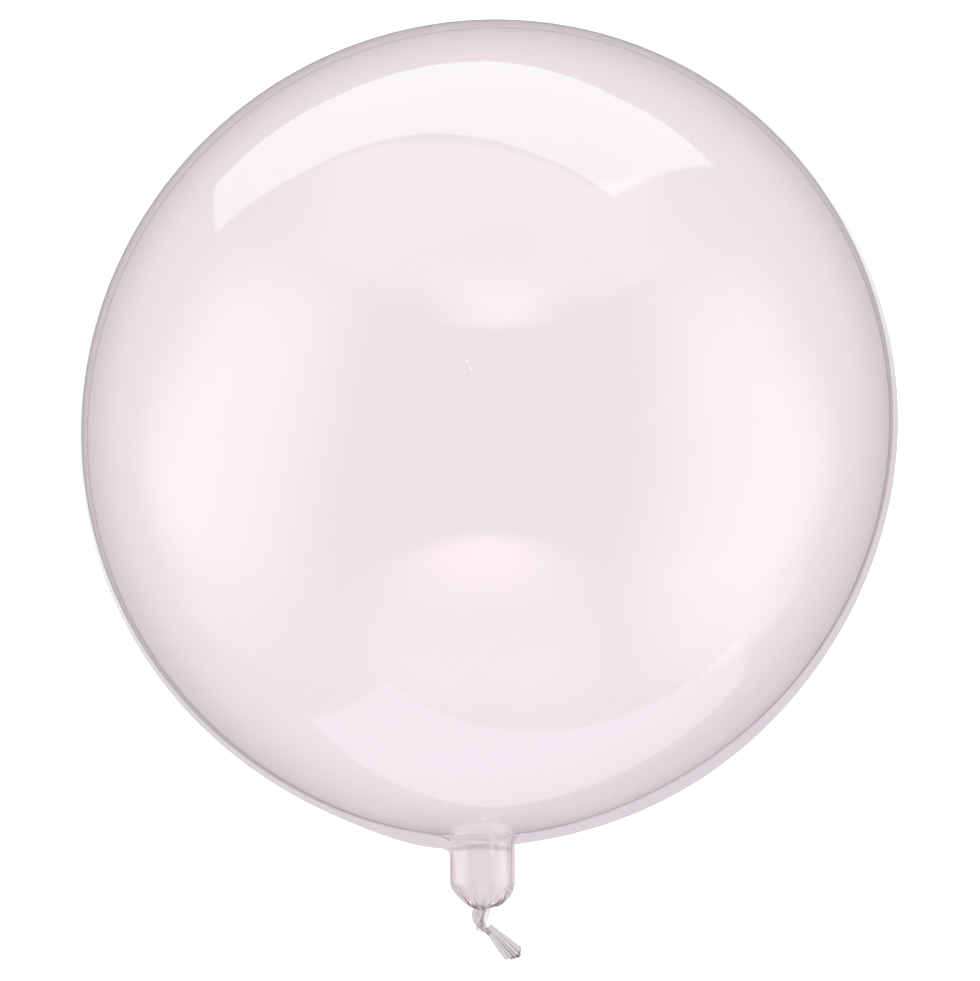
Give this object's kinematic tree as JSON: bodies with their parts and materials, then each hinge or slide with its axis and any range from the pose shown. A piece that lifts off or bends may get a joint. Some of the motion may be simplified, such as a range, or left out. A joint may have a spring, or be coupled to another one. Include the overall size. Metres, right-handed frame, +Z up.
{
  "type": "clear bubble balloon",
  "caption": "Round see-through stretch-film balloon, welded round its middle, blown up and knotted at its neck.",
  "frame": {"origin": "middle of the flat rest spot on the floor, under the middle of the globe", "axes": "+Z up, with the weld level at mid-height; the neck, knot and tail point along -Y and the crown along +Y; +X to the right seen from above with the neck towards the viewer"},
  "size_m": [0.406, 0.4668, 0.3977],
  "materials": {
    "film": "clear glossy stretch film with a faint pink tint"
  },
  "bodies": {
    "root": {"balloon_envelope": "film"}
  },
  "joints": []
}
